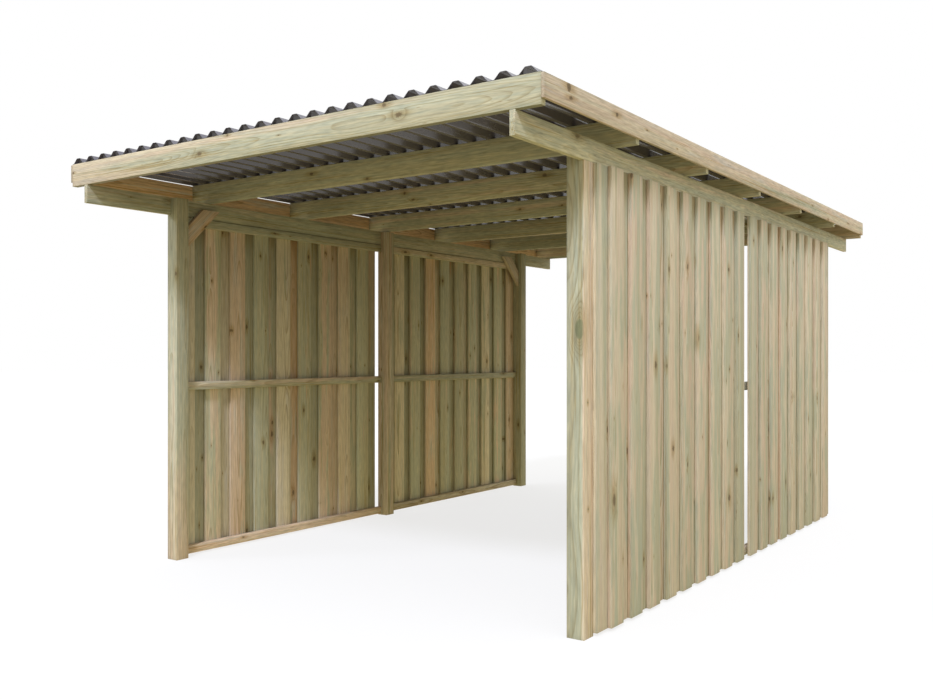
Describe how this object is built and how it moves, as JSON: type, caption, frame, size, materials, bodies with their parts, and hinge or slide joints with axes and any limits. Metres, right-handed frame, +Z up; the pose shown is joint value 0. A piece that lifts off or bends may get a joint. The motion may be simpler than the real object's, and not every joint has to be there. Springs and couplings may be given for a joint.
{
  "type": "carport",
  "caption": "Open-ended timber carport on square posts, with board-on-board side walls, knee braces, rafters on side beams and a flat corrugated roof, to shelter a vehicle.",
  "frame": {"origin": "on the ground, at the centre of the plan", "axes": "+X to the right seen from the front, +Y from the front to the rear, +Z up"},
  "size_m": [3.23, 5.27, 2.432],
  "materials": {
    "frame_timber": "pressure-treated sawn pine, matte",
    "wall_boards": "pressure-treated planed pine boards, matte",
    "roof_sheet": "anthracite coating, semi-gloss"
  },
  "bodies": {
    "root": {"front_left_post": "frame_timber", "middle_left_post": "frame_timber", "rear_left_post": "frame_timber", "front_right_post": "frame_timber", "middle_right_post": "frame_timber", "rear_right_post": "frame_timber", "left_beam": "frame_timber", "right_beam": "frame_timber", "front_end_board": "frame_timber", "rafter_1": "frame_timber", "rafter_2": "frame_timber", "rafter_3": "frame_timber", "rafter_4": "frame_timber", "rafter_5": "frame_timber", "rear_end_board": "frame_timber", "left_fascia": "frame_timber", "right_fascia": "frame_timber", "left_roof_sheet": "roof_sheet", "middle_roof_sheet": "roof_sheet", "right_roof_sheet": "roof_sheet", "front_left_bottom_rail": "frame_timber", "front_left_middle_rail": "frame_timber", "front_left_top_rail": "frame_timber", "front_left_boards": "wall_boards", "rear_left_bottom_rail": "frame_timber", "rear_left_middle_rail": "frame_timber", "rear_left_top_rail": "frame_timber", "rear_left_boards": "wall_boards", "front_right_bottom_rail": "frame_timber", "front_right_middle_rail": "frame_timber", "front_right_top_rail": "frame_timber", "front_right_boards": "wall_boards", "rear_right_bottom_rail": "frame_timber", "rear_right_middle_rail": "frame_timber", "rear_right_top_rail": "frame_timber", "rear_right_boards": "wall_boards", "front_left_brace": "frame_timber", "rear_left_brace": "frame_timber", "front_right_brace": "frame_timber", "rear_right_brace": "frame_timber"}
  },
  "joints": []
}
